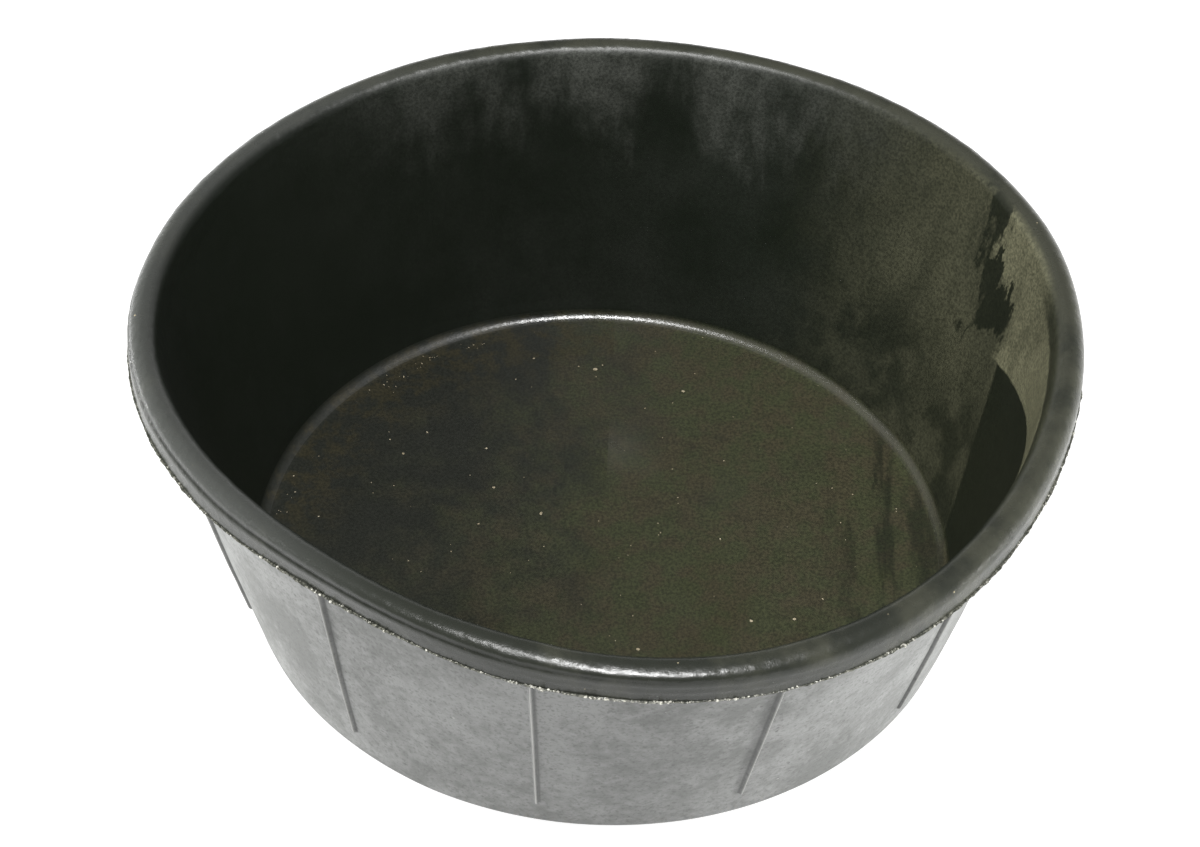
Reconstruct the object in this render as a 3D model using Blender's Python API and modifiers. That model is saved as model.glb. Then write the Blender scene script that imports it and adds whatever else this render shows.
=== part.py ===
"""A round moulded-rubber mortar mixing tub: floor, corner band, tapered side wall with ribs, rim bead and flash.

Metres, +Z up. The origin is the centre of the underside, where the tub stands on the ground.
The turned pieces are profiles of (radius, height) points, swept round +Z with a Screw modifier.
Angles round the tub are measured at the -Y side and grow towards +X.
"""

from math import atan, atan2, cos, pi, radians, sin, sqrt, tan

import bmesh
import bpy
from mathutils import Matrix, Vector

# Driving dimensions
RIM_RADIUS = 0.330  # outer edge of the flash, the tub's largest radius before it takes its set
HEIGHT = 0.238
RIM_DEPTH = 0.0255  # crown of the rim down to its underside
BASE_RADIUS = 0.260  # where the wall's outer face would meet the ground
NECK_RADIUS = 0.3132  # the wall's outer face at the rim's underside
WALL = 0.0075
FLOOR = 0.009
INNER_FILLET = 0.010
OUTER_CORNER = 0.009
CROWN_OUTER_ROUND = 0.0112
CROWN_INNER_ROUND = 0.010
UNDERSIDE_ROUND = 0.0015
REBATE = 0.0020  # how far the wall's top edge goes up into the rim bead, past its underside
FLASH_REACH = 0.0015
FLASH_THICKNESS = 0.0012
FLASH_LIP = 0.0009  # thickness at the lip
SCARF_RADIUS = 0.236  # middle of the sloping joint between the floor and the corner band
SCARF_SLOPE = 0.009  # how much wider the floor is at its top than at its underside
CORNER_HEIGHT = 0.024  # outer edge of the joint between the corner band and the wall
SEAM = 0.0003  # gap between neighbouring pieces
RIB_COUNT = 12
FIRST_RIB = radians(-7.5)
RIB_FOOT = 0.0305  # height of a rib's lower end
RIB_ROOT_WIDTH = (0.0045, 0.0062)  # at the foot and under the rim
RIB_CREST_WIDTH = (0.0014, 0.0022)
RIB_STAND = (0.0022, 0.0034)  # how far the crest stands off the wall
RIB_BURY = 0.0025  # how far a rib's root reaches into the wall

# The set that the soft rim has taken: (waves round the rim, height of the wave, angle of one crest).
# It grows evenly with height, from nothing at the corner band to all of it at the rim.
RADIAL_SET = ((2, 0.0034, radians(-75.5)), (3, 0.0086, radians(14.5)))
LIFT_SET = ((2, 0.0047, radians(-12.5)), (3, 0.0056, radians(-37.0)))
# A short stretch where the rim has rolled, so that its lower edge is tucked in.
ROLL_ANGLE = radians(12.0)
ROLL_CENTRE = radians(-32.0)
ROLL_HALF_WIDTH = radians(24.0)

SEGMENTS = 72  # each rib falls on the middle of a facet
ARC_STEPS = 5
SHARP_ANGLE = radians(32.0)

# Worked out from the dimensions above
NECK_HEIGHT = HEIGHT - RIM_DEPTH
TAPER = atan((NECK_RADIUS - BASE_RADIUS) / NECK_HEIGHT)
WALL_ACROSS = WALL / cos(TAPER)  # the wall's thickness measured level
SKIRT_RADIUS = RIM_RADIUS - FLASH_REACH
TONGUE_HEIGHT = NECK_HEIGHT + REBATE
SET_START = CORNER_HEIGHT + WALL * sin(TAPER)

# (name, base colour, roughness) of each rubber
FLOOR_RUBBER = ("floor_rubber", (0.034, 0.032, 0.022, 1.0), 0.50)
INNER_RUBBER = ("inner_rubber", (0.022, 0.023, 0.020, 1.0), 0.42)
WALL_RUBBER = ("wall_rubber", (0.060, 0.061, 0.058, 1.0), 0.60)
RIM_RUBBER = ("rim_rubber", (0.040, 0.041, 0.037, 1.0), 0.38)
FLASH_RUBBER = ("flash_rubber", (0.070, 0.071, 0.066, 1.0), 0.65)


def outer_radius(height):
    """The wall's outer face."""
    return BASE_RADIUS + tan(TAPER) * height


def inner_radius(height):
    """The wall's inner face."""
    return outer_radius(height) - WALL_ACROSS


def arc(centre, radius, start, end):
    """Points along an arc. Angles are in radians, from outward towards up."""
    turns = [start + (end - start) * step / ARC_STEPS for step in range(ARC_STEPS + 1)]
    return [(centre[0] + radius * cos(turn), centre[1] + radius * sin(turn)) for turn in turns]


def clear_scene():
    for obj in list(bpy.data.objects):
        bpy.data.objects.remove(obj)


def new_collection(name):
    made = bpy.data.collections.new(name)
    bpy.context.scene.collection.children.link(made)
    return made


def rubber(name, colour, roughness):
    material = bpy.data.materials.new(name)
    material.use_nodes = True
    shader = material.node_tree.nodes["Principled BSDF"]
    shader.inputs["Base Color"].default_value = colour
    shader.inputs["Roughness"].default_value = roughness
    shader.inputs["Metallic"].default_value = 0.0
    return material


def wave(terms, angle):
    return sum(size * cos(count * (angle - crest)) for count, size, crest in terms)


def roll(angle):
    """How far the rim has rolled at an angle, easing in and out of the rolled stretch."""
    away = abs(angle - ROLL_CENTRE) / ROLL_HALF_WIDTH
    return ROLL_ANGLE * cos(away * pi / 2) ** 2 if away < 1.0 else 0.0


def take_set(point):
    """Moves a point of the round tub to where the soft rubber has crept."""
    share = (point.z - SET_START) / (NECK_HEIGHT - SET_START)
    share = max(0.0, min(1.0, share))
    if share == 0.0:
        return point
    angle = atan2(point.x, -point.y)
    outward = Vector((sin(angle), -cos(angle), 0.0))
    below_crown = HEIGHT - max(point.z, NECK_HEIGHT)
    push = wave(RADIAL_SET, angle) - roll(angle) * below_crown
    lift = wave(LIFT_SET, angle)
    return point + share * (push * outward + lift * Vector((0.0, 0.0, 1.0)))


def finish(obj, where):
    """Applies the piece's modifiers, gives it its set, shades it and puts it with the tub's pieces."""
    bpy.context.view_layer.update()
    graph = bpy.context.evaluated_depsgraph_get()
    mesh = bpy.data.meshes.new_from_object(obj.evaluated_get(graph))
    obj.modifiers.clear()
    obj.data = mesh
    for vertex in mesh.vertices:
        vertex.co = take_set(vertex.co)
    mesh.shade_smooth()
    mesh.set_sharp_from_angle(angle=SHARP_ANGLE)
    for holder in list(obj.users_collection):
        holder.objects.unlink(obj)
    where.objects.link(obj)


def turned(name, profile, material):
    """A solid of revolution. The profile runs down its outer side first, and closes on itself."""
    points = [(radius, 0.0, height) for radius, height in profile]
    on_axis = [i for i, (radius, _) in enumerate(profile) if radius == 0.0]
    edges = [(i, (i + 1) % len(points)) for i in range(len(points))]
    edges = [edge for edge in edges if not set(edge) <= set(on_axis)]
    mesh = bpy.data.meshes.new(name)
    mesh.from_pydata(points, edges, [])
    mesh.materials.append(material)
    obj = bpy.data.objects.new(name, mesh)
    bpy.context.scene.collection.objects.link(obj)
    screw = obj.modifiers.new("Turn", "SCREW")
    screw.axis = "Z"
    screw.steps = SEGMENTS
    screw.render_steps = SEGMENTS
    screw.use_merge_vertices = True
    screw.merge_threshold = 0.0001
    return obj


def floor_disc(where):
    """The floor blank, with a sloping edge that sits on the corner band's."""
    top = SCARF_RADIUS + SCARF_SLOPE / 2
    bottom = SCARF_RADIUS - SCARF_SLOPE / 2
    profile = [(0.0, FLOOR), (top, FLOOR), (bottom, 0.0), (0.0, 0.0)]
    finish(turned("floor_disc", profile, rubber(*FLOOR_RUBBER)), where)


def corner_band(where):
    """The ring that turns the floor up into the wall: a rounded corner outside, a fillet inside."""
    outer_centre = (outer_radius(OUTER_CORNER) - OUTER_CORNER / cos(TAPER), OUTER_CORNER)
    inner_height = FLOOR + INNER_FILLET
    inner_centre = (inner_radius(inner_height) - INNER_FILLET / cos(TAPER), inner_height)
    scarf_gap = SEAM * sqrt(1.0 + (SCARF_SLOPE / FLOOR) ** 2)
    joint_outer = (outer_radius(CORNER_HEIGHT), CORNER_HEIGHT)
    joint_inner = (joint_outer[0] - WALL * cos(TAPER), CORNER_HEIGHT + WALL * sin(TAPER))
    profile = [joint_outer]
    profile += arc(outer_centre, OUTER_CORNER, -TAPER, -pi / 2)
    profile.append((SCARF_RADIUS - SCARF_SLOPE / 2 + scarf_gap, 0.0))
    profile.append((SCARF_RADIUS + SCARF_SLOPE / 2 + scarf_gap, FLOOR))
    profile += arc(inner_centre, INNER_FILLET, -pi / 2, -TAPER)
    profile.append(joint_inner)
    finish(turned("corner_band", profile, rubber(*INNER_RUBBER)), where)


def rib(turn):
    """One rib as a tapered bar on the wall's outer face, its root buried in the wall."""
    mesh = bpy.data.meshes.new("rib")
    shape = bmesh.new()
    bmesh.ops.create_cube(shape, size=2.0)
    for vertex in shape.verts:
        side, outer, upper = vertex.co.x, vertex.co.y < 0.0, vertex.co.z > 0.0
        height = NECK_HEIGHT - SEAM if upper else RIB_FOOT
        width = RIB_CREST_WIDTH[upper] if outer else RIB_ROOT_WIDTH[upper]
        stand = RIB_STAND[upper] if outer else -RIB_BURY
        vertex.co = (side * width / 2, -(outer_radius(height) + stand), height)
    bmesh.ops.rotate(shape, verts=shape.verts, cent=(0, 0, 0), matrix=Matrix.Rotation(turn, 3, "Z"))
    shape.to_mesh(mesh)
    shape.free()
    return mesh


def side_wall(where, cutters):
    """The tapered wall band with its moulded ribs. Its top edge is the tongue of the joint with the rim bead."""
    rise = Vector((sin(TAPER), cos(TAPER))) * SEAM
    across = Vector((-cos(TAPER), sin(TAPER))) * WALL
    foot_outer = Vector((outer_radius(CORNER_HEIGHT), CORNER_HEIGHT)) + rise
    foot_inner = foot_outer + across
    profile = [
        (outer_radius(TONGUE_HEIGHT), TONGUE_HEIGHT),
        (outer_radius(NECK_HEIGHT), NECK_HEIGHT),
        tuple(foot_outer),
        tuple(foot_inner),
        (inner_radius(NECK_HEIGHT), NECK_HEIGHT),
        (inner_radius(TONGUE_HEIGHT), TONGUE_HEIGHT),
    ]
    wall = turned("side_wall", profile, rubber(*WALL_RUBBER))
    for number in range(RIB_COUNT):
        bar = bpy.data.objects.new(f"rib_{number + 1:02d}", rib(FIRST_RIB + number * 2 * pi / RIB_COUNT))
        bar.hide_render = True
        bar.display_type = "WIRE"
        cutters.objects.link(bar)
        union = wall.modifiers.new(f"Rib {number + 1}", "BOOLEAN")
        union.operation = "UNION"
        union.solver = "EXACT"
        union.object = bar
    finish(wall, where)


def rim_bead(where):
    """The solid bead round the top: round crown, upright skirt, and a rebate for the wall's top edge."""
    crown_radius = SKIRT_RADIUS - CROWN_OUTER_ROUND
    outer_centre = (crown_radius, HEIGHT - CROWN_OUTER_ROUND)
    inner_centre = (crown_radius, HEIGHT - CROWN_INNER_ROUND)
    lip_centre = (SKIRT_RADIUS - UNDERSIDE_ROUND, NECK_HEIGHT + UNDERSIDE_ROUND)
    rebate_top = TONGUE_HEIGHT + SEAM
    gap = SEAM / cos(TAPER)
    profile = arc(outer_centre, CROWN_OUTER_ROUND, pi / 2, 0.0)
    profile += [(lip_centre[0] + UNDERSIDE_ROUND, lip_centre[1]), (lip_centre[0], NECK_HEIGHT)]
    profile.append((outer_radius(NECK_HEIGHT) + gap, NECK_HEIGHT))
    profile.append((outer_radius(rebate_top) + gap, rebate_top))
    profile.append((inner_radius(rebate_top), rebate_top))
    profile += arc(inner_centre, CROWN_INNER_ROUND, pi, pi / 2)[:-1]
    finish(turned("rim_bead", profile, rubber(*RIM_RUBBER)), where)


def rim_flash(where):
    """The thin fin left round the rim's lower edge by the mould's parting line."""
    low = NECK_HEIGHT + UNDERSIDE_ROUND
    high = low + FLASH_THICKNESS
    root = SKIRT_RADIUS + SEAM
    profile = [(root, high), (RIM_RADIUS, low + FLASH_LIP), (RIM_RADIUS, low), (root, low)]
    finish(turned("rim_flash", profile, rubber(*FLASH_RUBBER)), where)


def main():
    clear_scene()
    tub = new_collection("mortar_mixing_tub")
    cutters = new_collection("cutters")
    floor_disc(tub)
    corner_band(tub)
    side_wall(tub, cutters)
    rim_bead(tub)
    rim_flash(tub)


main()
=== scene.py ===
"""The looks of a round moulded-rubber mortar mixing tub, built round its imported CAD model.

Metres, +Z up, in the CAD's own frame. Angles round the tub are 0 at the -Y side and grow towards +X.
Each piece is a grid of points: rows round its turned profile, columns round the tub.
"""

from math import atan, atan2, cos, pi, radians, sin, tan

import bmesh
import bpy
import numpy as np
from mathutils import Matrix, Vector


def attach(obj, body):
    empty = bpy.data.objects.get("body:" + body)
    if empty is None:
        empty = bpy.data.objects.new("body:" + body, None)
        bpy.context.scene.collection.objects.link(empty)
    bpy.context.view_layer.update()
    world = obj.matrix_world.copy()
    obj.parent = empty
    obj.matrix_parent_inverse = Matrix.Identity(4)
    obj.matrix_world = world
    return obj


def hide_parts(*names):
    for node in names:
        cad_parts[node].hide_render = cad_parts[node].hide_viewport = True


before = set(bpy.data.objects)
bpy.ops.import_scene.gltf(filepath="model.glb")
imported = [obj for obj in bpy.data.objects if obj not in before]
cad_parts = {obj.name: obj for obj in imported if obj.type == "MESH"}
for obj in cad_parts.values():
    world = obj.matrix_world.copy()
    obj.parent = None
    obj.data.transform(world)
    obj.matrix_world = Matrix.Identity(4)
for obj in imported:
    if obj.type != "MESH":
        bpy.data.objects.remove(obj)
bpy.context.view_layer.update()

# The design's dimensions, as in the CAD
RIM_RADIUS = 0.330
HEIGHT = 0.238
RIM_DEPTH = 0.0255
BASE_RADIUS = 0.260
NECK_RADIUS = 0.3132
WALL = 0.0075
FLOOR = 0.009
INNER_FILLET = 0.010
OUTER_CORNER = 0.009
CROWN_OUTER_ROUND = 0.0112
CROWN_INNER_ROUND = 0.010
UNDERSIDE_ROUND = 0.0015
REBATE = 0.0020
FLASH_REACH = 0.0015
SCARF_RADIUS = 0.236
SCARF_SLOPE = 0.009
CORNER_HEIGHT = 0.024
SEAM = 0.0003
RIB_COUNT = 12
FIRST_RIB = radians(-7.5)
RIB_FOOT = 0.0305
NECK_HEIGHT = HEIGHT - RIM_DEPTH
TAPER = atan((NECK_RADIUS - BASE_RADIUS) / NECK_HEIGHT)
SKIRT_RADIUS = RIM_RADIUS - FLASH_REACH
TONGUE_HEIGHT = NECK_HEIGHT + REBATE
SET_START = CORNER_HEIGHT + WALL * sin(TAPER)
RADIAL_SET = ((2, 0.0034, radians(-75.5)), (3, 0.0086, radians(14.5)))
LIFT_SET = ((2, 0.0047, radians(-12.5)), (3, 0.0056, radians(-37.0)))
ROLL_ANGLE = radians(12.0)
ROLL_CENTRE = radians(-32.0)
ROLL_HALF_WIDTH = radians(24.0)

# The ribs' finished shape: half width and stand, each at the foot and under the rim
RIB_HALF_WIDTH = (0.0020, 0.0026)
RIB_STAND = (0.0022, 0.0032)
RIB_TAIL = 0.0025
RIB_END = 0.0001  # height over which the ribs end under the bead
FLANK_PLACE = 0.80  # where the painted shade on a rib's flank is darkest, and how far it spreads, in half widths
FLANK_SPREAD = 0.42

# The ragged flash
FLASH_ROOT = 0.0004  # how far its root is sunk into the skirt
FLASH_SHORTEST = 0.0008
FLASH_LONGEST = 0.0021
FLASH_DROOP = 0.0009
FLASH_THICKNESS = (0.0010, 0.0004)  # at the root and at the lip
BURRS = 420
BURR_SIZE = (0.00030, 0.00105)  # the smallest, and what the largest adds to it
BURR_CENTRE = radians(5.0)
BURR_SPREAD = radians(26.0)
BURR_SEED = 61

# Dried mortar left on the floor; sizes are the smallest, and what the largest adds to it
LOOSE_CRUMBS = 80
LOOSE_REACH = 0.232
LOOSE_SIZE = (0.00045, 0.0013)
DRIFT_CRUMBS = 70
DRIFT_RADIUS = 0.240
DRIFT_SPREAD = 0.005
DRIFT_ARC = (-165.0, -85.0)  # degrees
DRIFT_SIZE = (0.00025, 0.0006)
CRUMB_SEED = 71

# The crown's outer shoulder where it is fuller or slacker: (size, angle, half width)
SHOULDERS = ((0.0014, radians(8.0), radians(34.0)), (-0.0006, radians(-34.0), radians(16.0)))
SHOULDER_TILT = radians(64.0)
SHOULDER_SPREAD = radians(26.0)

# The faint groove between the rim's crown and its skirt
GROOVE_TILT = radians(67.0)
GROOVE_SPREAD = radians(9.0)
GROOVE_DEPTH = 0.0010
GROOVE_CENTRE = radians(-54.0)
GROOVE_HALF_LENGTH = radians(84.0)

# Random reliefs: (length of the features, size, seed) and, for the rim's, the number of waves
SKIN_WAVES = ((0.13, 0.00020, 3), (0.035, 0.00004, 4))
FLOOR_WAVE = (0.075, 0.00012, 11)
RIM_LUMPS = ((0.013, 0.00005, 21, 40), (0.006, 0.000040, 22, 40))

# Columns round each piece
WALL_COLUMNS = 480
RIB_COLUMNS = 21
RIB_WINDOW = 0.0029
RIM_COLUMNS = 1200
CORNER_COLUMNS = 1000
FLOOR_COLUMNS = 480
FLASH_COLUMNS = 2400

FLOOR_CENTRE = 0.0024  # radius of the floor's first ring of points
POLISH_FIRST = 4  # the fillet's first polished row
EASE_START = 0.150  # height where the inner face starts to ease towards the bead
UP, DOWN = (0.0, 1.0), (0.0, -1.0)
WALL_OUT = (cos(TAPER), -sin(TAPER))
WALL_IN = (-cos(TAPER), sin(TAPER))
SHARP_ANGLE = radians(40.0)


def outer_radius(height):
    return BASE_RADIUS + tan(TAPER) * height


def inner_radius(height):
    return outer_radius(height) - WALL / cos(TAPER)


def inner_face(height):
    """Radius of the finished inner face: the wall's, eased inwards higher up to meet the bead's round."""
    low, high = EASE_START, HEIGHT - CROWN_INNER_ROUND * (1.0 - sin(TAPER))
    share = min(max((height - low) / (high - low), 0.0), 1.0)
    end = SKIRT_RADIUS - CROWN_OUTER_ROUND - CROWN_INNER_ROUND * cos(TAPER)
    return inner_radius(height) + (end - inner_radius(high)) * share * share * (3.0 - 2.0 * share)


def inner_run(low, high, count):
    """Rows up the finished inner face, both ends included."""
    heights = [low + (high - low) * step / count for step in range(count + 1)]
    return [(inner_face(height), height, *WALL_IN) for height in heights]


def run(start, end, normal, count):
    """Rows of (radius, height, normal) along a straight stretch, both ends included."""
    radius, height = start
    wider, higher = end[0] - radius, end[1] - height
    steps = [step / count for step in range(count + 1)]
    return [(radius + wider * t, height + higher * t, *normal) for t in steps]


def arc(centre, radius, start, end, count, hollow=False):
    """Rows along an arc, both ends included. Angles go from outward towards up."""
    rows = []
    for step in range(count + 1):
        turn = start + (end - start) * step / count
        away = (cos(turn), sin(turn))
        normal = (-away[0], -away[1]) if hollow else away
        rows.append((centre[0] + radius * away[0], centre[1] + radius * away[1], *normal))
    return rows


def waves(terms, angle):
    return sum(size * np.cos(count * (angle - crest)) for count, size, crest in terms)


def take_set(radius, height, angle):
    """Moves points of the round tub to where the soft rubber has crept, as in the CAD."""
    share = np.clip((height - SET_START) / (NECK_HEIGHT - SET_START), 0.0, 1.0)
    away = np.clip(np.abs(angle - ROLL_CENTRE) / ROLL_HALF_WIDTH, 0.0, 1.0)
    roll = ROLL_ANGLE * np.cos(away * pi / 2) ** 2
    push = waves(RADIAL_SET, angle) - roll * (HEIGHT - np.maximum(height, NECK_HEIGHT))
    return radius + share * push, height + share * waves(LIFT_SET, angle)


def ripple(x, y, z, length, size, seed, count=16):
    """A random smooth relief: its features are about this long, and size is its root mean square."""
    rng = np.random.default_rng(seed)
    relief = 0.0
    for _ in range(count):
        way = rng.normal(size=3)
        way *= 2 * pi / length * rng.uniform(0.6, 1.6) / np.linalg.norm(way)
        relief = relief + np.sin(way[0] * x + way[1] * y + way[2] * z + rng.uniform(0, 2 * pi))
    return relief * size * (2.0 / count) ** 0.5


def even_angles(count):
    return np.arange(count) * 2 * pi / count - pi


def wall_angles():
    """Even columns, with finer ones across each rib."""
    half = RIB_WINDOW / outer_radius(CORNER_HEIGHT)
    ribs = FIRST_RIB + np.arange(RIB_COUNT) * 2 * pi / RIB_COUNT
    even = even_angles(WALL_COLUMNS)
    near = np.abs((even[:, None] - ribs[None, :] + pi) % (2 * pi) - pi).min(axis=1)
    fine = (ribs[:, None] + np.linspace(-half, half, RIB_COLUMNS)[None, :]).ravel()
    fine = (fine + pi) % (2 * pi) - pi
    return np.sort(np.concatenate([even[near > half * 1.2], fine]))


def turned(rows, angles, relief=None):
    """Points[row, column] of a turned surface with its reliefs, moved to where the rubber has crept."""
    rows = np.array(rows)
    radius, height, out, up = (rows[:, i : i + 1] for i in range(4))
    angle = angles[None, :]
    x, y = radius * np.sin(angle), -radius * np.cos(angle)
    push = sum(ripple(x, y, height, *wave) for wave in SKIN_WAVES) * np.clip(height / FLOOR, 0.0, 1.0)
    if relief is not None:
        push = push + relief(x, y, height, angle, out, up)
    radius, height = take_set(radius + out * push, height + up * push, angle)
    return np.stack([radius * np.sin(angle), -radius * np.cos(angle), height + 0 * angle], -1)


def grid_mesh(name, points, closed=True, poles=()):
    """A mesh from points[row, column]. Columns join up, and rows do when closed; else poles end them."""
    rows, columns = points.shape[:2]
    index = np.arange(rows * columns).reshape(rows, columns)
    if closed:
        index = np.vstack([index, index[:1]])
    index = np.hstack([index, index[:, :1]])
    corners = [index[:-1, :-1], index[1:, :-1], index[1:, 1:], index[:-1, 1:]]
    faces = np.stack(corners, -1).reshape(-1, 4).tolist()
    vertices = points.reshape(-1, 3)
    if poles:
        first, last = len(vertices), len(vertices) + 1
        vertices = np.vstack([vertices, poles])
        for j in range(columns):
            faces.append((first, int(index[0, j]), int(index[0, j + 1])))
            faces.append((last, int(index[-1, j + 1]), int(index[-1, j])))
    mesh = bpy.data.meshes.new(name)
    mesh.from_pydata(vertices.tolist(), [], faces)
    mesh.shade_smooth()
    mesh.set_sharp_from_angle(angle=SHARP_ANGLE)
    return mesh


def paint_rows(mesh, columns, first_rows, materials):
    """Gives each material the faces from its first row on."""
    rows = np.arange(len(mesh.polygons)) // columns
    indices = np.zeros(len(mesh.polygons), dtype=np.int32)
    for number, (first_row, material) in enumerate(zip(first_rows, materials)):
        mesh.materials.append(material)
        indices[rows >= first_row] = number
    mesh.polygons.foreach_set("material_index", indices)


def store(mesh, name, values):
    """Keeps a number for each point, for the material to read."""
    mesh.attributes.new(name, "FLOAT", "POINT").data.foreach_set("value", np.float32(values).ravel())


def piece(mesh, slot, *nodes):
    """Puts a finished mesh in the scene in place of its CAD nodes."""
    obj = bpy.data.objects.new(mesh.name, mesh)
    bpy.context.scene.collection.objects.link(obj)
    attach(obj, "root")
    if nodes:
        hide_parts(*nodes)
    return obj


def scarf(height):
    """Middle of the sloping joint between the floor and the corner band."""
    gap = SEAM * (1.0 + (SCARF_SLOPE / FLOOR) ** 2) ** 0.5
    return SCARF_RADIUS + SCARF_SLOPE * (height / FLOOR - 0.5) + gap / 2


def foot_joint():
    """Outer and inner ends of the joint between the corner band and the wall."""
    outer = Vector((outer_radius(CORNER_HEIGHT), CORNER_HEIGHT))
    outer += Vector((sin(TAPER), cos(TAPER))) * SEAM / 2
    return outer, outer + Vector(WALL_IN) * WALL


def build_floor(inside, outside):
    rows = run((FLOOR_CENTRE, FLOOR), (scarf(FLOOR), FLOOR), UP, 98)
    rows += run((scarf(0.0), 0.0), (FLOOR_CENTRE, 0.0), DOWN, 40)

    def relief(x, y, z, angle, out, up):
        inside_edge = np.clip((scarf(FLOOR) - np.hypot(x, y)) / 0.02, 0.0, 1.0)
        return ripple(x, y, z, *FLOOR_WAVE) * (z > FLOOR / 2) * inside_edge

    poles = [(0.0, 0.0, FLOOR), (0.0, 0.0, 0.0)]
    mesh = grid_mesh("floor_disc_skin", turned(rows, even_angles(FLOOR_COLUMNS), relief), False, poles)
    mesh.materials.append(inside)
    mesh.materials.append(outside)
    under = np.array([face.center.z < FLOOR * 0.9 for face in mesh.polygons])
    mesh.polygons.foreach_set("material_index", under.astype(np.int32))
    return piece(mesh, "floor_rubber", "floor_disc")


def build_corner(outside, inside, polished):
    """The corner band. Its fillet is polished but for the first rows, which lie almost flat."""
    outer_centre = (outer_radius(OUTER_CORNER) - OUTER_CORNER / cos(TAPER), OUTER_CORNER)
    fillet_height = FLOOR + INNER_FILLET
    inner_centre = (inner_radius(fillet_height) - INNER_FILLET / cos(TAPER), fillet_height)
    joint_outer, joint_inner = foot_joint()
    outer_arc = arc(outer_centre, OUTER_CORNER, -TAPER, -pi / 2, 16)
    inner_arc = arc(inner_centre, INNER_FILLET, -pi / 2, -TAPER, 18, hollow=True)
    rows = run(joint_outer, outer_arc[0][:2], WALL_OUT, 4)[:-1] + outer_arc
    rows += run(outer_arc[-1][:2], (scarf(0.0), 0.0), DOWN, 5)[1:]
    outer_rows = len(rows)
    rows += run((scarf(FLOOR), FLOOR), inner_arc[0][:2], UP, 3)[:-1]
    polish_foot = len(rows) + POLISH_FIRST
    rows += inner_arc
    polish_head = len(rows) - 1
    rows += run(inner_arc[-1][:2], joint_inner, WALL_IN, 5)[1:]
    mesh = grid_mesh("corner_band_skin", turned(rows, even_angles(CORNER_COLUMNS)))
    starts = (0, outer_rows, polish_foot, polish_head)
    paint_rows(mesh, CORNER_COLUMNS, starts, (outside, inside, polished, inside))
    return piece(mesh, "inner_rubber", "corner_band")


def rib_crest(angle, height):
    """1 along the middle of a rib and 0 beside it."""
    step = 2 * pi / RIB_COUNT
    off = np.abs((angle - FIRST_RIB + step / 2) % step - step / 2) * outer_radius(height)
    along = np.clip((height - RIB_FOOT) / (NECK_HEIGHT - RIB_FOOT), 0.0, 1.0)
    width = RIB_HALF_WIDTH[0] + (RIB_HALF_WIDTH[1] - RIB_HALF_WIDTH[0]) * along**2
    tail = np.clip((height - RIB_FOOT) / RIB_TAIL, 0.0, 1.0)
    tail = np.sqrt(1.0 - (1.0 - tail) ** 2)
    return tail * 0.5 * (1.0 + np.cos(pi * np.clip(off / width, 0.0, 1.0)))


def rib_flank_shade(angle, height):
    """1 on the flank of each rib that faces the tub's -Y side, where shade is painted."""
    step = 2 * pi / RIB_COUNT
    off = (angle - FIRST_RIB + step / 2) % step - step / 2
    facing = -off * np.sign(angle - off) * outer_radius(height) / RIB_HALF_WIDTH[1]
    across = np.exp(-(((facing - FLANK_PLACE) / FLANK_SPREAD) ** 2))
    return across * np.clip((height - RIB_FOOT) / RIB_TAIL, 0.0, 1.0)


def rib_relief(x, y, height, angle, out, up):
    """How far the ribs stand off the wall's outer face."""
    along = np.clip((height - RIB_FOOT) / (NECK_HEIGHT - RIB_FOOT), 0.0, 1.0)
    stand = RIB_STAND[0] + (RIB_STAND[1] - RIB_STAND[0]) * along
    return stand * rib_crest(angle, height) * ((out > 0.0) & (height <= NECK_HEIGHT))


def build_wall(outside, inside):
    joint_outer, joint_inner = foot_joint()
    top = TONGUE_HEIGHT + SEAM / 2
    ledge = NECK_HEIGHT + RIB_END
    foot = (outer_radius(RIB_FOOT), RIB_FOOT)
    tail = (outer_radius(RIB_FOOT + RIB_TAIL), RIB_FOOT + RIB_TAIL)
    rows = [(outer_radius(top), top, *WALL_OUT), (outer_radius(ledge), ledge, *WALL_OUT)]
    rows += run((outer_radius(NECK_HEIGHT), NECK_HEIGHT), tail, WALL_OUT, 44)[:-1]
    rows += run(tail, foot, WALL_OUT, 10)[:-1]
    rows += run(foot, joint_outer, WALL_OUT, 4)
    outer_rows = len(rows)
    rows += inner_run(joint_inner.y, top, 34)
    angles = wall_angles()
    mesh = grid_mesh("side_wall_skin", turned(rows, angles, rib_relief))
    heights = np.array([row[1] for row in rows])[:, None]
    crest = rib_crest(angles[None, :], heights)
    crest[outer_rows:] = 0.0
    store(mesh, "level", np.repeat(heights, len(angles), axis=1))
    store(mesh, "crest", crest)
    flank = rib_flank_shade(angles[None, :], heights)
    flank[outer_rows:] = 0.0
    store(mesh, "flank", flank)
    paint_rows(mesh, len(angles), (0, outer_rows), (outside, inside))
    return piece(mesh, "wall_rubber", "side_wall")


def bell(angle, centre, half_width):
    """1 at the centre angle, easing to 0 at the half width."""
    away = np.clip(np.abs(angle - centre) / half_width, 0.0, 1.0)
    return np.cos(away * pi / 2) ** 2


def rim_groove(tilt, angle):
    """1 along the middle of the faint groove between crown and skirt, from the -X side to the front."""
    across = np.exp(-(((tilt - GROOVE_TILT) / GROOVE_SPREAD) ** 2))
    return across * bell(angle, GROOVE_CENTRE, GROOVE_HALF_LENGTH) ** 0.5


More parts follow.
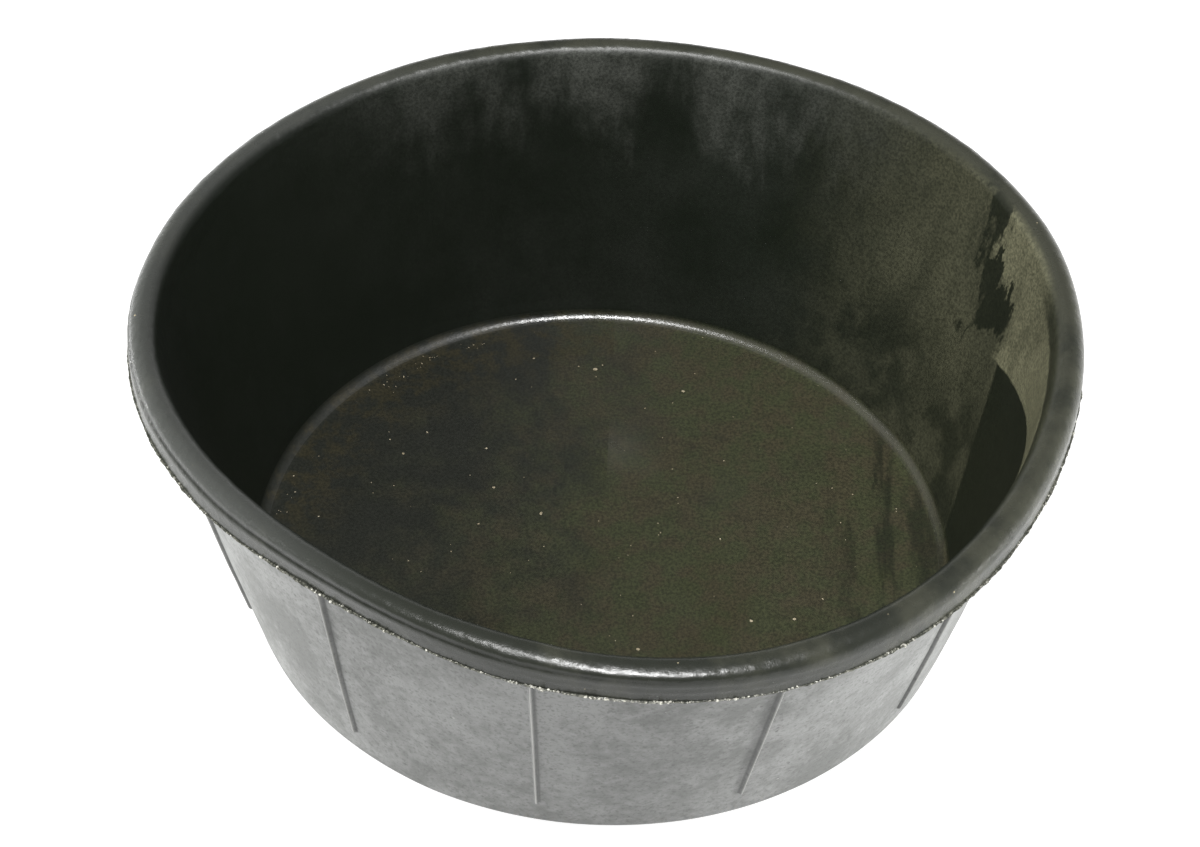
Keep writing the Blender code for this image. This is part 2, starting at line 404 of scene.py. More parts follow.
def rim_relief(x, y, z, angle, out, up):
    """Fine lumps all over the bead, and a crown that is squarer in one stretch and rounder in the next."""
    lumps = sum(ripple(x, y, z, *lump) for lump in RIM_LUMPS)
    lumps = lumps * np.clip((z - NECK_HEIGHT - 0.002) / 0.003, 0.0, 1.0)
    tilt = np.arctan2(out, up)
    shoulder = np.exp(-(((tilt - SHOULDER_TILT) / SHOULDER_SPREAD) ** 2)) * (z > NECK_HEIGHT + 0.008)
    square = sum(size * bell(angle, centre, half) for size, centre, half in SHOULDERS)
    return lumps + shoulder * square - GROOVE_DEPTH * rim_groove(tilt, angle)


def build_rim(material):
    crown = SKIRT_RADIUS - CROWN_OUTER_ROUND
    lip = (SKIRT_RADIUS - UNDERSIDE_ROUND, NECK_HEIGHT + UNDERSIDE_ROUND)
    rebate_top = TONGUE_HEIGHT + SEAM / 2
    outer_arc = arc((crown, HEIGHT - CROWN_OUTER_ROUND), CROWN_OUTER_ROUND, pi / 2, 0.0, 22)
    inner_arc = arc((crown, HEIGHT - CROWN_INNER_ROUND), CROWN_INNER_ROUND, pi - TAPER, pi / 2, 18)
    lip_arc = arc(lip, UNDERSIDE_ROUND, 0.0, -pi / 2, 5)
    rows = outer_arc + run(outer_arc[-1][:2], lip_arc[0][:2], (1.0, 0.0), 8)[1:-1] + lip_arc
    rows += run(lip_arc[-1][:2], (outer_radius(NECK_HEIGHT), NECK_HEIGHT), DOWN, 3)[1:-1]
    rows.append((outer_radius(NECK_HEIGHT), NECK_HEIGHT, *WALL_OUT))
    rows.append((outer_radius(rebate_top), rebate_top, *WALL_OUT))
    outer_rows = len(rows)
    rows += inner_run(rebate_top, inner_arc[0][1], 8)[:-1]
    rows += inner_arc[:-1]
    mesh = grid_mesh("rim_bead_skin", turned(rows, even_angles(RIM_COLUMNS), rim_relief))
    tilts = np.array([atan2(row[2], row[3]) for row in rows])
    inner = np.clip(-tilts / radians(70.0), 0.0, 1.0)
    inner[:outer_rows] = 0.0
    store(mesh, "inner", np.repeat(inner[:, None], RIM_COLUMNS, axis=1))
    store(mesh, "groove", rim_groove(tilts[:, None], even_angles(RIM_COLUMNS)[None, :]))
    store(mesh, "level", np.repeat(np.array([[row[1]] for row in rows]), RIM_COLUMNS, axis=1))
    mesh.materials.append(material)
    return piece(mesh, "rim_rubber", "rim_bead")


def jagged(angles, seed):
    """Ragged noise round the tub, from 0 to 1: long swells with torn short teeth."""
    rng = np.random.default_rng(seed)
    values = 0.0
    for knots, weight in ((60, 0.45), (260, 0.35), (900, 0.35)):
        heights = rng.uniform(-1.0, 1.0, knots)
        places = (angles + pi) / (2 * pi) * knots
        closed = np.append(heights, heights[0])
        values = values + weight * np.interp(places % knots, np.arange(knots + 1), closed)
    return np.clip(0.5 + values * 0.7, 0.0, 1.0)


def flash_reach(angles):
    return FLASH_SHORTEST + (FLASH_LONGEST - FLASH_SHORTEST) * jagged(angles, 31) ** 1.6


def flash_point(angle, share, rise=0.0):
    """(radius, height) on the middle of the flash, a share of the way out to its lip, after the set."""
    radius = SKIRT_RADIUS - FLASH_ROOT + (FLASH_ROOT + flash_reach(angle)) * share
    droop = FLASH_DROOP * (jagged(angle, 32) - 0.4)
    height = NECK_HEIGHT + UNDERSIDE_ROUND + FLASH_THICKNESS[0] / 2 - droop * share + rise
    return take_set(radius, height, angle)


def build_flash(material):
    angles = even_angles(FLASH_COLUMNS)
    sections = [(0, 1), (0.4, 1), (0.75, 1), (0.95, 0.7), (1, 0)]
    sections += [(share, -side) for share, side in reversed(sections[:-1])]
    layers = []
    for share, side in sections:
        half = (FLASH_THICKNESS[0] + (FLASH_THICKNESS[1] - FLASH_THICKNESS[0]) * share) / 2
        radius, height = flash_point(angles, share, side * half)
        layers.append(np.stack([radius * np.sin(angles), -radius * np.cos(angles), height], -1))
    mesh = grid_mesh("rim_flash_skin", np.array(layers))
    mesh.materials.append(material)
    return piece(mesh, "flash_rubber", "rim_flash")


def lumps_mesh(name, places, sizes, flatness, seed):
    """Small irregular lumps, one at each place."""
    ball = bmesh.new()
    bmesh.ops.create_icosphere(ball, subdivisions=2, radius=1.0)
    shape = np.array([vertex.co for vertex in ball.verts])
    faces = np.array([[vertex.index for vertex in face.verts] for face in ball.faces])
    ball.free()
    rng = np.random.default_rng(seed)
    all_points, all_faces = [], []
    for number, (place, size) in enumerate(zip(places, sizes)):
        turn = rng.uniform(0.0, 2 * pi)
        dents = ripple(*shape.T, 1.6, 0.14, rng.integers(1, 10**6), 6)[:, None]
        points = shape * (1.0 + dents) * size * np.array([1.0, rng.uniform(0.55, 0.95), flatness])
        x, y, z = points.T
        spun = np.stack([x * cos(turn) - y * sin(turn), x * sin(turn) + y * cos(turn), z], -1)
        all_points.append(spun + place)
        all_faces.append(faces + number * len(shape))
    mesh = bpy.data.meshes.new(name)
    mesh.from_pydata(np.concatenate(all_points).tolist(), [], np.concatenate(all_faces).tolist())
    mesh.shade_smooth()
    return mesh


def build_crumbs(material):
    """Dried mortar: loose crumbs on the floor, and a drift of them along the fillet on the -X side."""
    rng = np.random.default_rng(CRUMB_SEED)
    places, sizes = [], []
    for _ in range(LOOSE_CRUMBS):
        radius, angle = LOOSE_REACH * rng.uniform(0.0, 1.0) ** 0.5, rng.uniform(-pi, pi)
        places.append((radius * sin(angle), -radius * cos(angle), FLOOR))
        sizes.append(LOOSE_SIZE[0] + LOOSE_SIZE[1] * rng.uniform(0.0, 1.0) ** 3)
    for _ in range(DRIFT_CRUMBS):
        radius, angle = rng.normal(DRIFT_RADIUS, DRIFT_SPREAD), radians(rng.uniform(*DRIFT_ARC))
        places.append((radius * sin(angle), -radius * cos(angle), FLOOR))
        sizes.append(DRIFT_SIZE[0] + DRIFT_SIZE[1] * rng.uniform(0.0, 1.0) ** 3)
    mesh = lumps_mesh("mortar_crumbs", places, sizes, 0.45, CRUMB_SEED + 1)
    mesh.materials.append(material)
    return piece(mesh, None)


def build_burrs(material):
    """Torn bits of rubber and dried cement that cling to the flash, most of them at the front; their pale
    colour is partly painted glints.
    """
    rng = np.random.default_rng(BURR_SEED)
    front = BURR_CENTRE + rng.normal(0.0, BURR_SPREAD, BURRS // 2)
    angles = np.concatenate([front, rng.uniform(-pi, pi, BURRS // 2)])
    angles = (angles + pi) % (2 * pi) - pi
    radius, height = flash_point(angles, rng.uniform(0.2, 1.0, len(angles)), FLASH_THICKNESS[0] * 0.45)
    places = np.stack([radius * np.sin(angles), -radius * np.cos(angles), height], -1)
    sizes = BURR_SIZE[0] + BURR_SIZE[1] * rng.uniform(0.0, 1.0, len(angles)) ** 2.5
    mesh = lumps_mesh("flash_burrs", places, sizes, 0.8, BURR_SEED + 1)
    mesh.materials.append(material)
    return piece(mesh, "flash_rubber")


class Nodes:
    """A material's nodes, made with short calls that each return an output socket."""

    def __init__(self, name):
        self.material = bpy.data.materials.new(name)
        self.material.use_nodes = True
        self.tree = self.material.node_tree
        self.shader = self.tree.nodes["Principled BSDF"]
        self.place = self.node("ShaderNodeTexCoord").outputs["Object"]

    def node(self, kind, **settings):
        made = self.tree.nodes.new(kind)
        for name, value in settings.items():
            setattr(made, name, value)
        return made

    def give(self, socket, value):
        """Links an output to this input, or sets the input to a plain value."""
        if isinstance(value, bpy.types.NodeSocket):
            self.tree.links.new(value, socket)
        else:
            socket.default_value = value

    def math(self, operation, first, second=0.0):
        made = self.node("ShaderNodeMath", operation=operation)
        self.give(made.inputs[0], first)
        self.give(made.inputs[1], second)
        return made.outputs[0]

    def add(self, first, second):
        return self.math("ADD", first, second)

    def minus(self, first, second):
        return self.math("SUBTRACT", first, second)

    def times(self, first, second):
        return self.math("MULTIPLY", first, second)

    def stored(self, name):
        """A number kept for each point of the mesh."""
        return self.node("ShaderNodeAttribute", attribute_name=name).outputs["Fac"]

    def axes(self):
        """The outputs X, Y and Z of the place on the piece."""
        made = self.node("ShaderNodeSeparateXYZ")
        self.give(made.inputs[0], self.place)
        return made.outputs

    def stretched(self, x, y, z):
        """The place on the piece, with each axis scaled."""
        made = self.node("ShaderNodeVectorMath", operation="MULTIPLY")
        self.give(made.inputs[0], self.place)
        made.inputs[1].default_value = (x, y, z)
        return made.outputs[0]

    def noise(self, scale, detail=3.0, rough=0.55, seed=0.0, at=None, warp=0.0):
        made = self.node("ShaderNodeTexNoise", noise_dimensions="4D")
        self.give(made.inputs["Vector"], at or self.place)
        made.inputs["W"].default_value = seed
        made.inputs["Scale"].default_value = scale
        made.inputs["Detail"].default_value = detail
        made.inputs["Roughness"].default_value = rough
        made.inputs["Distortion"].default_value = warp
        return made.outputs["Fac"]

    def fade(self, value, low, high):
        """0 below low and 1 above high, easing between; low may be the larger."""
        made = self.node("ShaderNodeMapRange", interpolation_type="SMOOTHSTEP")
        self.give(made.inputs["Value"], value)
        self.give(made.inputs["From Min"], min(low, high))
        self.give(made.inputs["From Max"], max(low, high))
        made.inputs["To Min"].default_value = 0.0 if low < high else 1.0
        made.inputs["To Max"].default_value = 1.0 if low < high else 0.0
        return made.outputs["Result"]

    def mix(self, share, first, second):
        """A colour from first to second."""
        made = self.node("ShaderNodeMix", data_type="RGBA")
        self.give(made.inputs["Factor"], share)
        for socket, colour in zip((s for s in made.inputs if s.type == "RGBA"), (first, second)):
            self.give(socket, colour if isinstance(colour, bpy.types.NodeSocket) else (*colour, 1.0))
        return next(s for s in made.outputs if s.type == "RGBA")

    def specks(self, scale, share, size, seed):
        """Round dots in about this share of the cells of a grid with this many cells to the metre."""
        shift = self.node("ShaderNodeVectorMath", operation="ADD")
        self.give(shift.inputs[0], self.place)
        shift.inputs[1].default_value = (seed, seed * 0.7, seed * 1.3)
        cells = self.node("ShaderNodeTexVoronoi", feature="F1")
        self.give(cells.inputs["Vector"], shift.outputs[0])
        cells.inputs["Scale"].default_value = scale
        parts = self.node("ShaderNodeSeparateColor")
        self.give(parts.inputs[0], cells.outputs["Color"])
        chosen = self.math("LESS_THAN", parts.outputs[0], share)
        reach = self.times(self.add(parts.outputs[1], 0.35), size * scale)
        near = self.minus(reach, cells.outputs["Distance"])
        return self.times(chosen, self.fade(near, 0.0, size * scale * 0.35))

    def around(self):
        """(angle, height): the angle round the tub from the -Y side, and the height."""
        axes = self.axes()
        return self.math("ARCTAN2", axes["X"], self.times(axes["Y"], -1.0)), axes["Z"]

    def bump(self, height, distance, strength=1.0):
        made = self.node("ShaderNodeBump")
        made.inputs["Strength"].default_value = strength
        made.inputs["Distance"].default_value = distance
        self.give(made.inputs["Height"], height)
        self.give(self.shader.inputs["Normal"], made.outputs["Normal"])

    def finish(self, colour, roughness):
        self.give(self.shader.inputs["Base Color"], colour)
        self.give(self.shader.inputs["Roughness"], roughness)
        return self.material


# Colours, as linear red, green and blue
# soot and grit, and also the painted shade in the rim's groove
SOOT_AND_SHADE = (0.004, 0.005, 0.003)
# worn rubber, and also the painted sheen along the fillet
RUBBED_AND_SHEEN = (0.080, 0.079, 0.062)
BLACK = (0.0050, 0.0082, 0.0041)
# dried olive film, and also the painted light on the +X wall
OLIVE_FILM_AND_LIGHT = (0.198, 0.194, 0.120)
GREY_BLOOM = (0.066, 0.070, 0.060)
FLOOR_DARK = (0.0215, 0.0233, 0.0178)
FLOOR_OLIVE = (0.0490, 0.0545, 0.0255)
FLOOR_BROWN = (0.0560, 0.0500, 0.0275)
FLOOR_RUST = (0.0420, 0.0360, 0.0170)
CREAM = (0.34, 0.29, 0.19)
OUTER_DARK = (0.125, 0.129, 0.121)
OUTER_DUSTY = (0.250, 0.254, 0.246)
# dark pits, and also the painted shade on the rib flanks
OUTER_PITS_AND_SHADE = (0.060, 0.062, 0.058)
# pale specks, and also the painted highlight along the rib crests
OUTER_PALE_AND_HIGHLIGHT = (0.42, 0.42, 0.40)
FLASH_DARK = (0.035, 0.037, 0.030)
FLASH_TORN = (0.17, 0.17, 0.14)
RIM_DARK = (0.0230, 0.0252, 0.0200)
RIM_DUSTY = (0.048, 0.0495, 0.037)
# painted reflection on the crown's -X side
RIM_CROWN_REFLECTION = (0.064, 0.067, 0.063)
BURR_DARK = (0.10, 0.10, 0.08)
# pale dust on the burrs, partly painted glints
BURR_PALE_AND_GLINT = (0.62, 0.61, 0.54)
MORTAR_DARK = (0.30, 0.25, 0.16)
MORTAR_PALE = (0.50, 0.44, 0.32)
STAGE_GREY = (0.25, 0.25, 0.25, 1.0)
WHITE = (1.0, 1.0, 1.0, 1.0)

# The dried film on the +X wall, with painted light and shadow. Above a sloping edge the film is thick and
# light is painted on it; the wedge under the edge is painted shadow, with hardly any film.
LIGHT_EDGE_ANGLE = 105.0  # degrees, where the edge of the painted light meets the wedge's edge
LIGHT_EDGE_HEIGHT = 0.144
LIGHT_EDGE_SLOPE = 0.0975  # how far the edge of the painted light drops, in metres to the radian
WEDGE_HEIGHT = 0.143
WEDGE_LEAN = 1.22  # how far the wedge's edge leans, in radians to the metre

# The ragged run of clean rubber down through the film
RUN_ANGLE = 116.5  # degrees, its far edge at the height below
RUN_HEIGHT = 0.162
RUN_LEAN = 65.0  # how far the far edge leans, in degrees to the metre
RUN_NEAR_EDGE = 116.2  # degrees


def run_edges(m, height):
    """Both edges, as angles, of the ragged run: a neck from the rim, a blot and a tail."""
    slivers = m.add(m.noise(85.0, 4.0, 0.65, 5.0, at=m.stretched(1.0, 1.0, 0.22)), -0.5)
    wander = m.add(m.noise(26.0, 3.0, 0.6, 7.0), -0.5)
    high_edge = m.add(m.times(height, radians(RUN_LEAN)), radians(RUN_ANGLE - RUN_LEAN * RUN_HEIGHT))
    lobe = m.times(m.fade(height, 0.112, 0.124), m.fade(height, 0.142, 0.128))
    high_edge = m.add(high_edge, m.times(lobe, radians(3.5)))
    high_edge = m.add(high_edge, m.add(m.times(slivers, 0.22), m.times(wander, 0.10)))
    blot = m.fade(m.add(height, m.times(slivers, 0.110)), 0.203, 0.180)
    blot = m.times(blot, m.fade(height, 0.128, 0.166))
    low_edge = m.add(radians(RUN_NEAR_EDGE), m.times(blot, radians(-9.6)))
    low_edge = m.add(low_edge, m.add(m.times(slivers, 0.26), m.times(wander, 0.10)))
    return low_edge, high_edge


def run_stain(m, angle, height, low_edge, high_edge):
    """1 on the ragged run of clean rubber."""
    past_low = m.fade(m.minus(angle, low_edge), -0.006, 0.014)
    past_high = m.fade(m.minus(high_edge, angle), -0.018, 0.014)
    return m.times(m.times(past_low, past_high), m.fade(height, 0.104, 0.132))


def film_and_light_amount(m, angle, height):
    """How much olive colour the +X wall gets: dried cement film, with painted light above a sloping edge,
    and almost none in the wedge of painted shadow under it.
    """
    soft = m.times(m.add(m.noise(60.0, 3.0, 0.5, 4.0), -0.5), 0.004)
    # the sloping edge of the painted light
    light_edge = m.add(m.times(angle, LIGHT_EDGE_SLOPE), -(LIGHT_EDGE_HEIGHT + LIGHT_EDGE_SLOPE * radians(LIGHT_EDGE_ANGLE)))
    light_edge = m.add(m.add(height, soft), light_edge)
    above = m.fade(light_edge, -0.0012, 0.0012)
    # the wedge of painted shadow under that edge
    outside_shadow_wedge = m.add(m.times(height, -WEDGE_LEAN), WEDGE_LEAN * WEDGE_HEIGHT - radians(LIGHT_EDGE_ANGLE))
    outside_shadow_wedge = m.add(m.add(angle, m.times(soft, 3.0)), outside_shadow_wedge)
    outside_shadow_wedge = m.math("MAXIMUM", m.fade(outside_shadow_wedge, -0.008, 0.008), above)
    patches = m.noise(26.0, 4.0, 0.6, 2.0, at=m.stretched(1.0, 1.0, 0.55), warp=0.5)
    low_edge, high_edge = run_edges(m, height)
    reach = m.add(radians(106.0), m.times(m.fade(height, 0.170, 0.205), radians(12.0)))
    front = m.fade(m.minus(angle, m.math("MINIMUM", low_edge, reach)), 0.045, -0.035)
    # brighter just above the edge of the painted light
    near_light_edge = m.add(0.64, m.times(m.fade(light_edge, 0.060, 0.006), 0.46))
    level = m.stored("level")
    bare = m.fade(m.add(level, m.times(soft, 1.5)), 0.2185, 0.2235)
    bare = m.times(bare, m.fade(angle, radians(106.0), radians(94.0)))
    # thick film and painted light above the edge, brighter near the rim
    thick_film_and_light = m.times(m.fade(angle, radians(48.0), radians(74.0)), near_light_edge)
    thick_film_and_light = m.times(m.times(above, front), thick_film_and_light)
    thick_film_and_light = m.times(thick_film_and_light, m.add(1.0, m.times(m.fade(angle, radians(102.0), radians(88.0)), 0.20)))
    lower = m.add(0.74, m.times(m.fade(height, 0.05, 0.15), 0.32))
    murk = m.times(m.fade(m.noise(20.0, 4.0, 0.6, 6.0), 0.42, 0.58), m.fade(height, 0.125, 0.075))
    lower = m.times(lower, m.minus(1.0, m.times(murk, 0.75)))
    back = m.fade(m.add(angle, m.times(soft, 30.0)), radians(158.0), radians(124.0))
    thin = m.times(m.times(outside_shadow_wedge, lower), back)
    thin = m.times(thin, m.fade(angle, radians(60.0), radians(75.0)))
    amount = m.add(m.times(thin, 0.31), m.times(thick_film_and_light, 0.80))
    brushed = m.noise(70.0, 4.0, 0.6, 18.0, at=m.stretched(1.0, 1.0, 0.14))
    patches = m.add(m.times(patches, 0.6), m.times(brushed, 0.4))
    amount = m.times(amount, m.add(0.60, m.times(m.fade(patches, 0.38, 0.60), 0.40)))
    trace = m.fade(angle, radians(150.0), radians(110.0))
    trace = m.times(trace, m.fade(angle, radians(30.0), radians(60.0)))
    amount = m.add(amount, m.times(trace, 0.040))
    clean = m.math("MAXIMUM", run_stain(m, angle, height, low_edge, high_edge), bare)
    return m.times(amount, m.minus(1.0, m.times(clean, 0.82)))


def inside_look(m):
    """(colour, roughness) of the whole inner face: dusty floor, dark bloomed walls, +X side filmed and
    painted with light and shadow, fillet partly painted with sheen.
    """
    angle, height = m.around()
    axes = m.axes()
    streaks = m.noise(20.0, 5.0, 0.62, 3.6, at=m.stretched(1.0, 1.0, 0.25), warp=0.5)
    cloud = m.noise(13.0, 4.0, 0.62, 1.0)
    high = m.fade(m.add(height, m.times(m.add(streaks, -0.5), 0.22)), 0.150, 0.225)
    back = m.fade(m.math("ABSOLUTE", angle), radians(128.0), radians(165.0))
    high = m.times(m.times(high, back), 1.35)
    bloom = m.fade(m.add(m.times(streaks, 0.4), m.times(cloud, 0.6)), 0.34, 0.70)
    bloom = m.times(bloom, m.add(0.03, m.add(m.times(back, 0.14), high)))
    wall = m.mix(bloom, BLACK, GREY_BLOOM)
    # dried film on the +X wall, with painted light and a painted shadow
    wall = m.mix(film_and_light_amount(m, angle, height), wall, OLIVE_FILM_AND_LIGHT)
    patch = m.noise(7.0, 5.0, 0.62, 12.0, warp=0.4)
    fine = m.noise(60.0, 4.0, 0.6, 13.0)
    drift = m.minus(m.times(axes["X"], 0.9), m.times(axes["Y"], 0.25))
    dusty = m.add(m.add(m.times(patch, 0.75), m.times(fine, 0.25)), drift)
    hue = m.mix(m.fade(m.noise(45.0, 4.0, 0.6, 16.0), 0.40, 0.62), FLOOR_OLIVE, FLOOR_BROWN)
    floor = m.mix(m.fade(dusty, 0.31, 0.57), FLOOR_DARK, hue)
    distance = m.node("ShaderNodeVectorMath", operation="LENGTH")
    m.give(distance.inputs[0], m.stretched(1.0, 1.0, 0.0))
    near_wall = m.fade(distance.outputs["Value"], 0.175, 0.232)
    rusty = m.times(m.fade(angle, radians(-80.0), radians(-100.0)), m.fade(fine, 0.42, 0.60))
    rusty = m.times(near_wall, rusty)
    floor = m.mix(m.times(rusty, 0.75), floor, FLOOR_RUST)
    scraped = m.noise(50.0, 4.0, 0.6, 19.0, at=m.stretched(1.0, 0.16, 1.0), warp=0.3)
    scraped = m.times(m.fade(scraped, 0.47, 0.60), m.fade(axes["X"], 0.155, 0.205))
    floor = m.mix(m.times(scraped, 0.6), floor, BLACK)
    floor = m.mix(m.specks(240.0, 0.045, 0.00050, 5.7), floor, CREAM)
    low = m.fade(height, 0.0180, 0.0110)
    colour = m.mix(low, wall, floor)
    grit = m.fade(m.noise(430.0, 3.0, 0.75, 17.0), 0.66, 0.34)
    colour = m.mix(m.times(grit, 0.62), colour, SOOT_AND_SHADE)
    rough = m.add(m.add(0.36, m.times(fine, 0.12)), m.times(cloud, 0.12))
    fillet = m.times(m.fade(height, 0.0090, 0.0100), m.fade(height, 0.0190, 0.0150))
    fillet = m.times(fillet, m.fade(axes["X"], -0.17, -0.05))
    rough = m.add(rough, m.times(fillet, -0.22))
    # the fillet paler on the far and +X side: partly wear, partly a painted sheen in place of a highlight
    rubbed_and_sheen = m.times(m.fade(height, 0.0090, 0.0106), m.fade(height, 0.0160, 0.0122))
    rubbed_and_sheen = m.times(rubbed_and_sheen, m.fade(axes["X"], -0.20, 0.10))
    rubbed_and_sheen = m.times(rubbed_and_sheen, m.fade(angle, radians(80.0), radians(115.0)))
    colour = m.mix(m.times(rubbed_and_sheen, 0.66), colour, RUBBED_AND_SHEEN)
    return colour, rough


def grain(m, coarse, distance):
    """The fine skin of moulded rubber, as a bump."""
    skin = m.add(m.noise(950.0, 2.0, 0.5, 8.0), m.times(m.noise(coarse, 3.0, 0.5, 9.0), 1.4))
    m.bump(skin, distance, 0.6)


def inside_material():
    m = Nodes("inner_rubber_worn")
    colour, rough = inside_look(m)
    grain(m, 150.0, 0.00013)
    return m.finish(colour, rough)


def fillet_material():
    """The same rubber where the floor turns up into the wall, polished by shovels."""
    m = Nodes("inner_rubber_polished")
    colour, rough = inside_look(m)
    m.shader.inputs["Specular IOR Level"].default_value = 1.0
    grain(m, 230.0, 0.00030)
    return m.finish(colour, rough)


def outside_material():
    m = Nodes("outer_rubber_dusty")
    cloud = m.noise(11.0, 5.0, 0.62, 21.0, warp=0.6)
    smudge = m.noise(30.0, 5.0, 0.66, 22.0, warp=0.9)
    fine = m.noise(380.0, 3.0, 0.6, 23.0)
    speckle = m.noise(140.0, 4.0, 0.65, 26.0)
    bloom = m.add(m.add(m.times(cloud, 0.42), m.times(smudge, 0.30)), m.times(speckle, 0.28))
    bloom = m.fade(bloom, 0.40, 0.60)
    colour = m.mix(bloom, OUTER_DARK, OUTER_DUSTY)
    colour = m.mix(m.times(m.fade(fine, 0.50, 0.66), 0.50), colour, OUTER_PITS_AND_SHADE)
    colour = m.mix(m.times(m.specks(150.0, 0.20, 0.0012, 2.2), 0.6), colour, OUTER_PITS_AND_SHADE)
    colour = m.mix(m.times(m.specks(110.0, 0.06, 0.0011, 6.1), 0.6), colour, OUTER_PALE_AND_HIGHLIGHT)
    # painted highlight along the crest of each rib
    crest = m.stored("crest")
    colour = m.mix(m.times(m.fade(crest, 0.60, 0.95), 0.75), colour, OUTER_PALE_AND_HIGHLIGHT)
    # painted shade on the flank of each rib that faces the -Y side
    flank = m.stored("flank")
    colour = m.mix(m.times(flank, 0.72), colour, OUTER_PITS_AND_SHADE)
    rough = m.add(0.40, m.times(smudge, 0.22))
    grain(m, 260.0, 0.00014)
    return m.finish(colour, rough)


def rim_material():
    m = Nodes("rim_rubber_satin")
    cloud = m.noise(24.0, 5.0, 0.62, 31.0)
    angle, _ = m.around()
    # dust clouds; the rim is also darker towards the -X side, as painted shade, and paler towards +X
    dust_and_side_shade = m.add(cloud, m.times(m.math("SINE", m.add(angle, radians(-38.0))), 0.16))
    colour = m.mix(m.fade(dust_and_side_shade, 0.38, 0.66), RIM_DARK, RIM_DUSTY)
    level = m.stored("level")
    # the crown painted paler on the -X side, a painted reflection
    crown_reflection = m.fade(angle, radians(-20.0), radians(-50.0))
    crown_reflection = m.times(crown_reflection, m.fade(angle, radians(-165.0), radians(-125.0)))
    crown_reflection = m.times(crown_reflection, m.fade(level, HEIGHT - 0.0100, HEIGHT - 0.0040))
    colour = m.mix(m.times(crown_reflection, 0.65), colour, RIM_CROWN_REFLECTION)
    # painted shade along the groove between the crown and the skirt
    groove = m.stored("groove")
    colour = m.mix(m.times(groove, 0.75), colour, SOOT_AND_SHADE)
    colour = m.mix(m.specks(160.0, 0.05, 0.0006, 9.3), colour, CREAM)
    inner_colour, inner_rough = inside_look(m)
    inner = m.stored("inner")
    inner = m.fade(inner, 0.25, 0.85)
    colour = m.mix(inner, colour, inner_colour)
    rough = m.add(0.19, m.times(m.noise(120.0, 4.0, 0.6, 33.0), 0.16))
    rough = m.add(m.times(rough, m.minus(1.0, inner)), m.times(inner_rough, inner))
    grain(m, 380.0, 0.00016)
    return m.finish(colour, rough)


def flash_material():
    m = Nodes("flash_rubber_torn")
    patches = m.noise(650.0, 3.0, 0.6, 41.0)
    colour = m.mix(m.fade(patches, 0.44, 0.62), FLASH_DARK, FLASH_TORN)
    m.bump(m.noise(900.0, 2.0, 0.5, 42.0), 0.0003, 0.8)
    return m.finish(colour, 0.32)


def burr_material():
    m = Nodes("flash_burr_dust_and_glint")
    shade = m.noise(700.0, 3.0, 0.6, 45.0)
    # pale dust, partly painted glints, on the burrs
    colour = m.mix(m.fade(shade, 0.40, 0.60), BURR_DARK, BURR_PALE_AND_GLINT)
    return m.finish(colour, 0.30)


def crumb_material():
    m = Nodes("dried_mortar")
    shade = m.noise(500.0, 4.0, 0.6, 51.0)
    colour = m.mix(m.fade(shade, 0.35, 0.65), MORTAR_DARK, MORTAR_PALE)
    m.bump(shade, 0.0003, 0.6)
    return m.finish(colour, 0.9)


def stage_material():
    m = Nodes("stage_white")
    m.shader.inputs["Emission Color"].default_value = WHITE
    m.shader.inputs["Emission Strength"].default_value = 0.95
    return m.finish(STAGE_GREY, 0.9)


# The stage, the camera and the lights
STAGE_HALF = 15.0
STAGE_DROP = 0.0005  # how far the floor lies under the tub
CAMERA_PLACE = (0.0, -1.5552, 1.6135)
CAMERA_PITCH = radians(43.579)
CAMERA_YAW = radians(-0.246)
CAMERA_ROLL = radians(2.964)
CAMERA_LENS = 90.1
CAMERA_SENSOR = 36.0
# name: bearing and elevation in degrees, distance, (width, height), watts, whether reflections show it
LIGHTS = {
    "key": (22.0, 65.0, 2.6, (0.20, 0.20), 42.0, True),
    "wide": (-8.0, 65.0, 2.6, (1.7, 0.26), 35.0, True),
    "window": (-80.0, 30.0, 2.4, (0.9, 0.9), 42.0, False),
    "left": (-113.0, 0.0, 2.0, (0.34, 0.34), 72.0, False),
    "right": (86.0, 0.0, 2.0, (0.34, 0.34), 55.0, False),
}


def build_stage():
    mesh = bpy.data.meshes.new("stage_floor")
    half = STAGE_HALF
    corners = [(-half, -half, 0), (half, -half, 0), (half, half, 0), (-half, half, 0)]
    mesh.from_pydata(corners, [], [(0, 1, 2, 3)])
    mesh.materials.append(stage_material())
    floor = bpy.data.objects.new("stage_floor", mesh)
    floor.location.z = -STAGE_DROP
    bpy.context.scene.collection.objects.link(floor)


def area_light(name, bearing, elevation, distance, size, power, glossy):
    """A soft oval light, this wide and high. The bearing is the angle round the tub that it stands at."""
    bearing, elevation = radians(bearing), radians(elevation)
    light = bpy.data.lights.new(name, "AREA")
    light.shape = "ELLIPSE"
    light.size, light.size_y = size
    light.energy = power
    away = Vector((sin(bearing) * cos(elevation), -cos(bearing) * cos(elevation), sin(elevation)))
    obj = bpy.data.objects.new(name, light)
    obj.location = Vector((0.0, 0.0, HEIGHT / 2)) + away * distance
    obj.rotation_euler = away.to_track_quat("Z", "Y").to_euler()
    obj.visible_glossy = glossy
    bpy.context.scene.collection.objects.link(obj)


def ramp(tree, value, low, high, at_low, at_high):
    """An output that eases from at_low to at_high while the value goes from low to high."""
    made = tree.nodes.new("ShaderNodeMapRange")
    made.interpolation_type = "SMOOTHSTEP"
    for name, number in (("From Min", low), ("From Max", high), ("To Min", at_low), ("To Max", at_high)):
        made.inputs[name].default_value = number
    tree.links.new(value, made.inputs["Value"])
    return made.outputs["Result"]


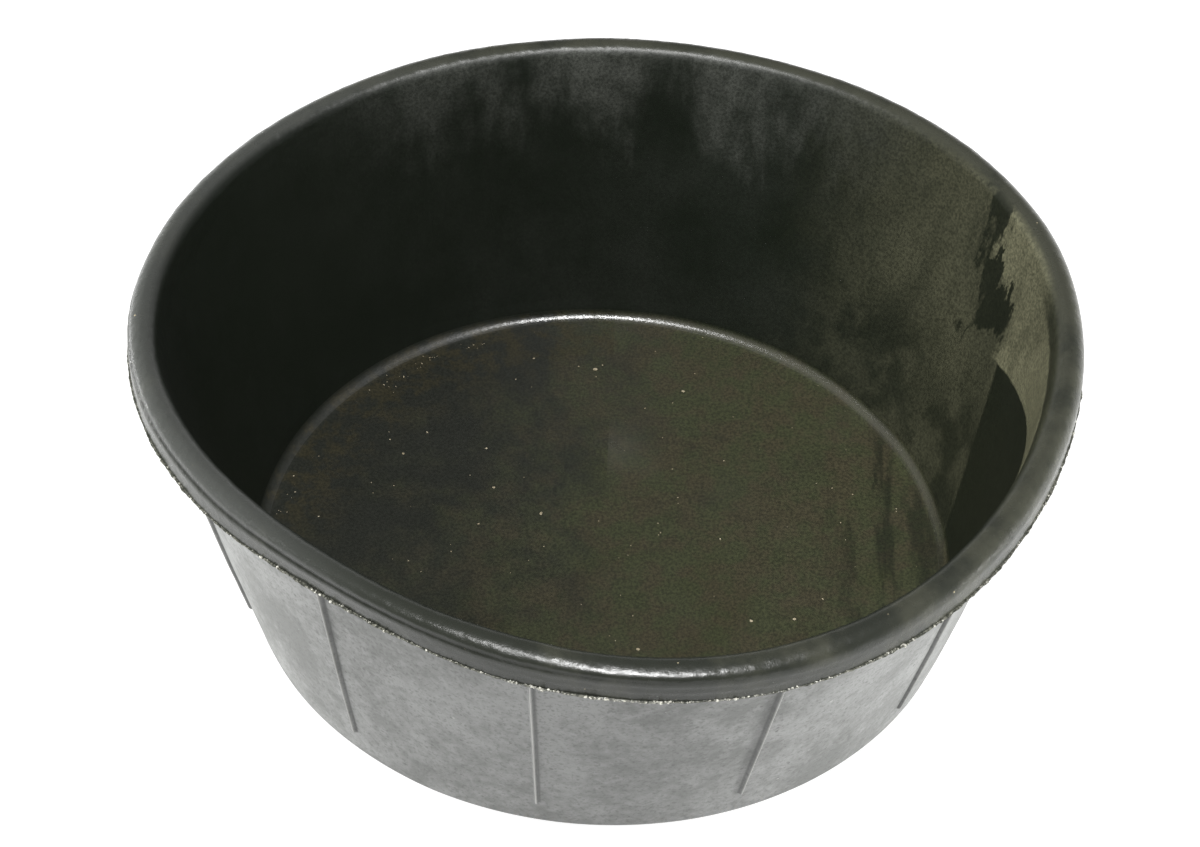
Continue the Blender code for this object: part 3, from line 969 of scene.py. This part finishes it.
def build_world():
    """A dim room with a bright band along the horizon, dimmer at the front."""
    world = bpy.data.worlds.new("studio")
    world.use_nodes = True
    tree = world.node_tree
    background = tree.nodes["Background"]
    background.inputs["Color"].default_value = WHITE
    direction = tree.nodes.new("ShaderNodeTexCoord")
    parts = tree.nodes.new("ShaderNodeSeparateXYZ")
    tree.links.new(direction.outputs["Generated"], parts.inputs[0])
    band = ramp(tree, parts.outputs["Z"], 0.02, 0.40, 0.70, 0.10)
    front = ramp(tree, parts.outputs["Y"], -0.9, -0.1, 0.4, 1.0)
    strength = tree.nodes.new("ShaderNodeMath")
    strength.operation = "MULTIPLY"
    tree.links.new(band, strength.inputs[0])
    tree.links.new(front, strength.inputs[1])
    tree.links.new(strength.outputs[0], background.inputs["Strength"])
    bpy.context.scene.world = world


def build_lights():
    build_world()
    for name, settings in LIGHTS.items():
        area_light(name, *settings)


def build_camera():
    """Looks down at the tub from in front of it."""
    pitch, yaw, roll = CAMERA_PITCH, CAMERA_YAW, CAMERA_ROLL
    forward = Vector((sin(yaw) * cos(pitch), cos(yaw) * cos(pitch), -sin(pitch)))
    level = forward.cross(Vector((0.0, 0.0, 1.0))).normalized()
    upright = level.cross(forward)
    right = cos(roll) * level + sin(roll) * upright
    above = cos(roll) * upright - sin(roll) * level
    turn = Matrix((right, above, -forward)).transposed().to_4x4()
    data = bpy.data.cameras.new("camera")
    data.sensor_width = CAMERA_SENSOR
    data.lens = CAMERA_LENS
    camera = bpy.data.objects.new("camera", data)
    camera.matrix_world = Matrix.Translation(CAMERA_PLACE) @ turn
    bpy.context.scene.collection.objects.link(camera)
    bpy.context.scene.camera = camera


def main():
    inside, outside = inside_material(), outside_material()
    build_floor(inside, outside)
    build_corner(outside, inside, fillet_material())
    build_wall(outside, inside)
    build_rim(rim_material())
    build_flash(flash_material())
    build_burrs(burr_material())
    build_crumbs(crumb_material())
    build_stage()
    build_lights()
    build_camera()
    bpy.context.scene.view_settings.view_transform = "Standard"


main()
